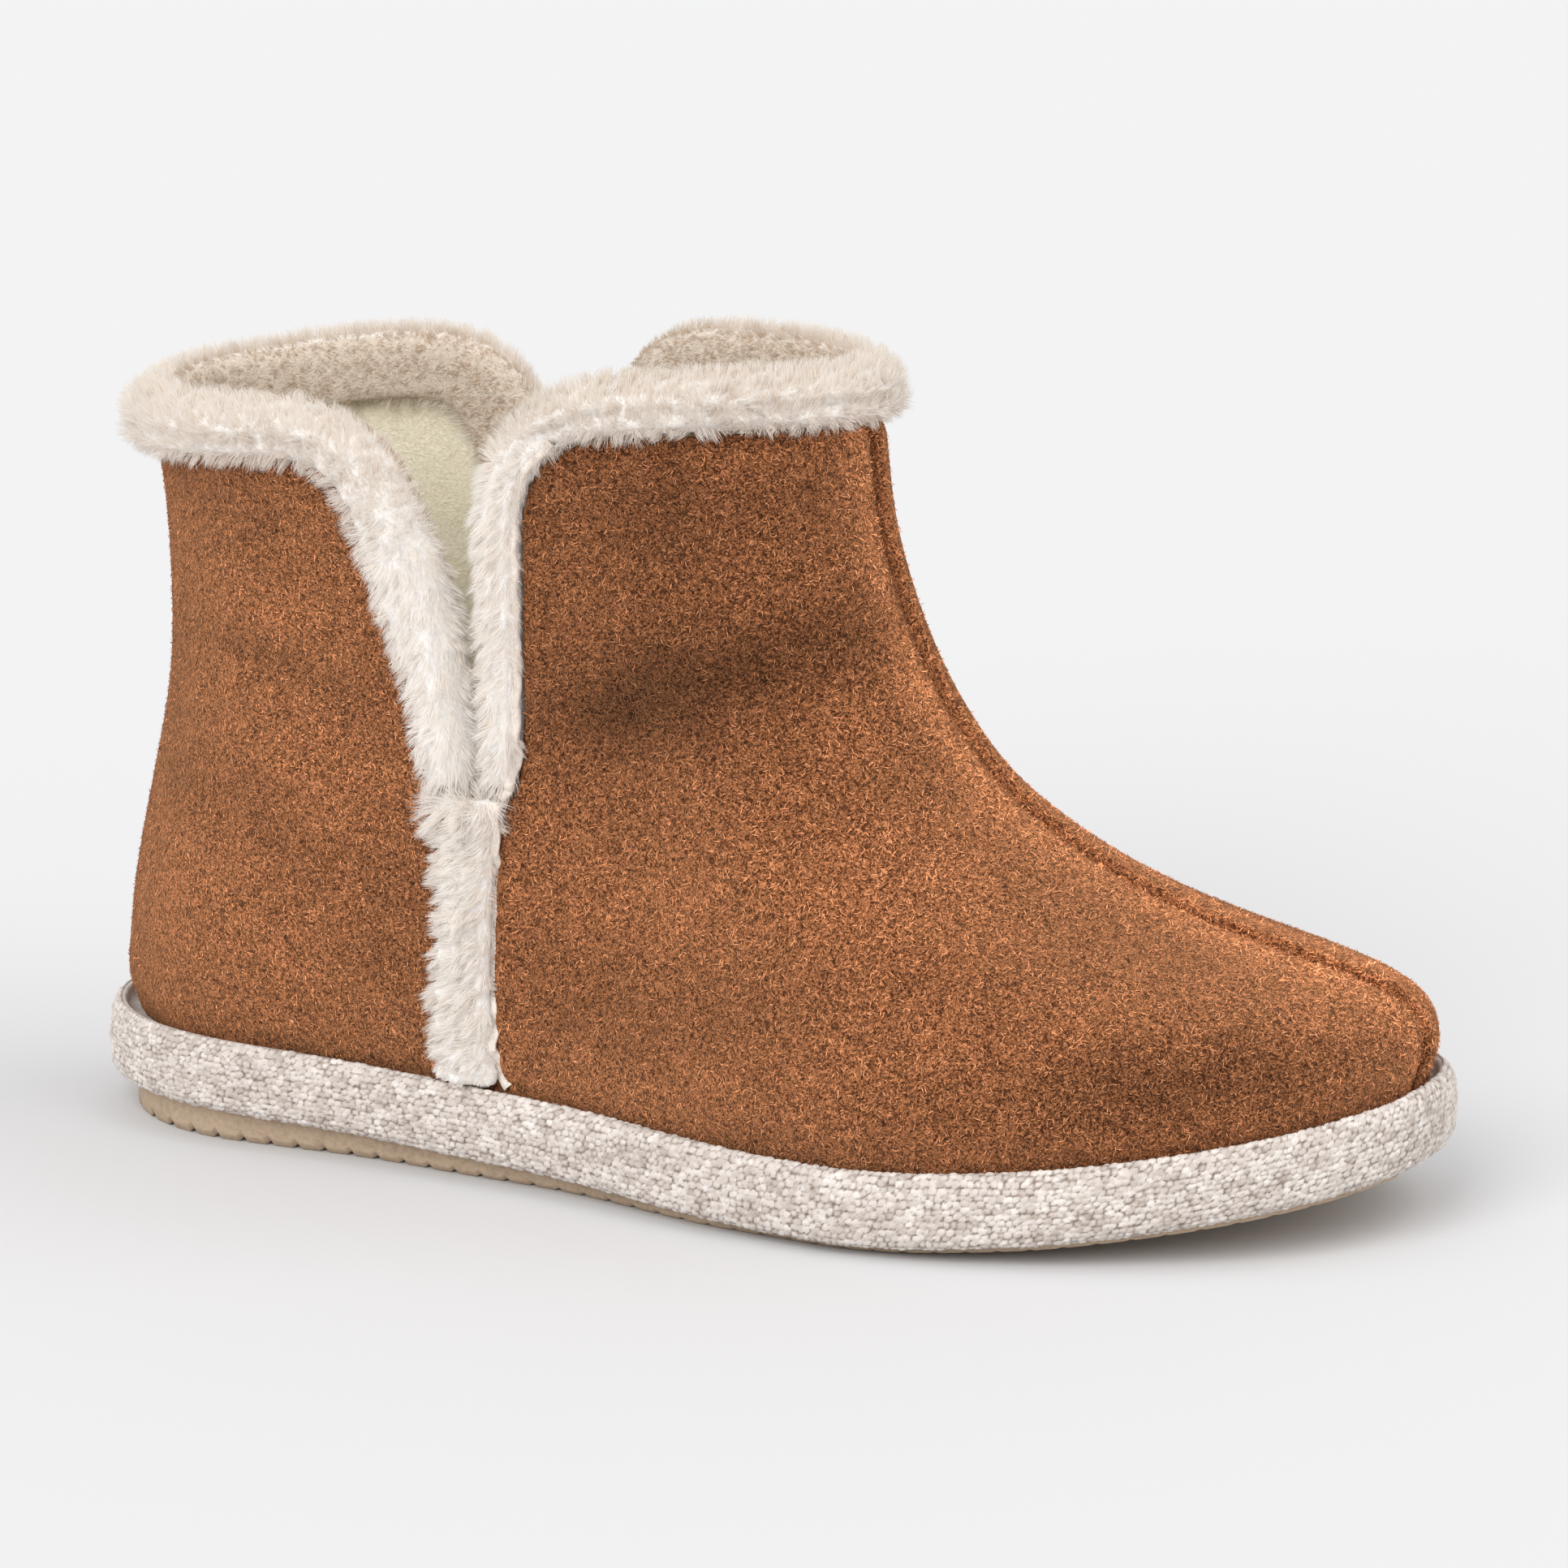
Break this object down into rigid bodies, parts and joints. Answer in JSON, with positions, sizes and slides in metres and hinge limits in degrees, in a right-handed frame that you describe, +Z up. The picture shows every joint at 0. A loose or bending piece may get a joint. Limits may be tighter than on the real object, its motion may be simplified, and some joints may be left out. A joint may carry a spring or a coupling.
{
  "type": "bootie slipper",
  "caption": "Ankle high suede bootie slipper, right shoe, with fur trimmed side slits, a cloth wrapped platform and a ribbed rubber outsole.",
  "frame": {"origin": "centre of the bounding box's base, on the floor under the middle of the sole", "axes": "+X towards the toe, -Y towards the outer (lateral) side of the right shoe, +Z up"},
  "size_m": [0.256, 0.0997, 0.1504],
  "materials": {
    "rubber_taupe": "matte, pebbled",
    "woven_cloth": "coarse woven cloth",
    "fleece_cream": "short fleece",
    "suede_tan": "brushed suede",
    "fur_cream": "deep pile fur"
  },
  "bodies": {
    "root": {"outsole": "rubber_taupe", "midsole": "woven_cloth", "insole": "fleece_cream", "upper": "suede_tan", "fur_trim_back": "fur_cream", "fur_trim_front": "fur_cream", "fur_strip_lateral": "fur_cream", "fur_strip_medial": "fur_cream"}
  },
  "joints": []
}
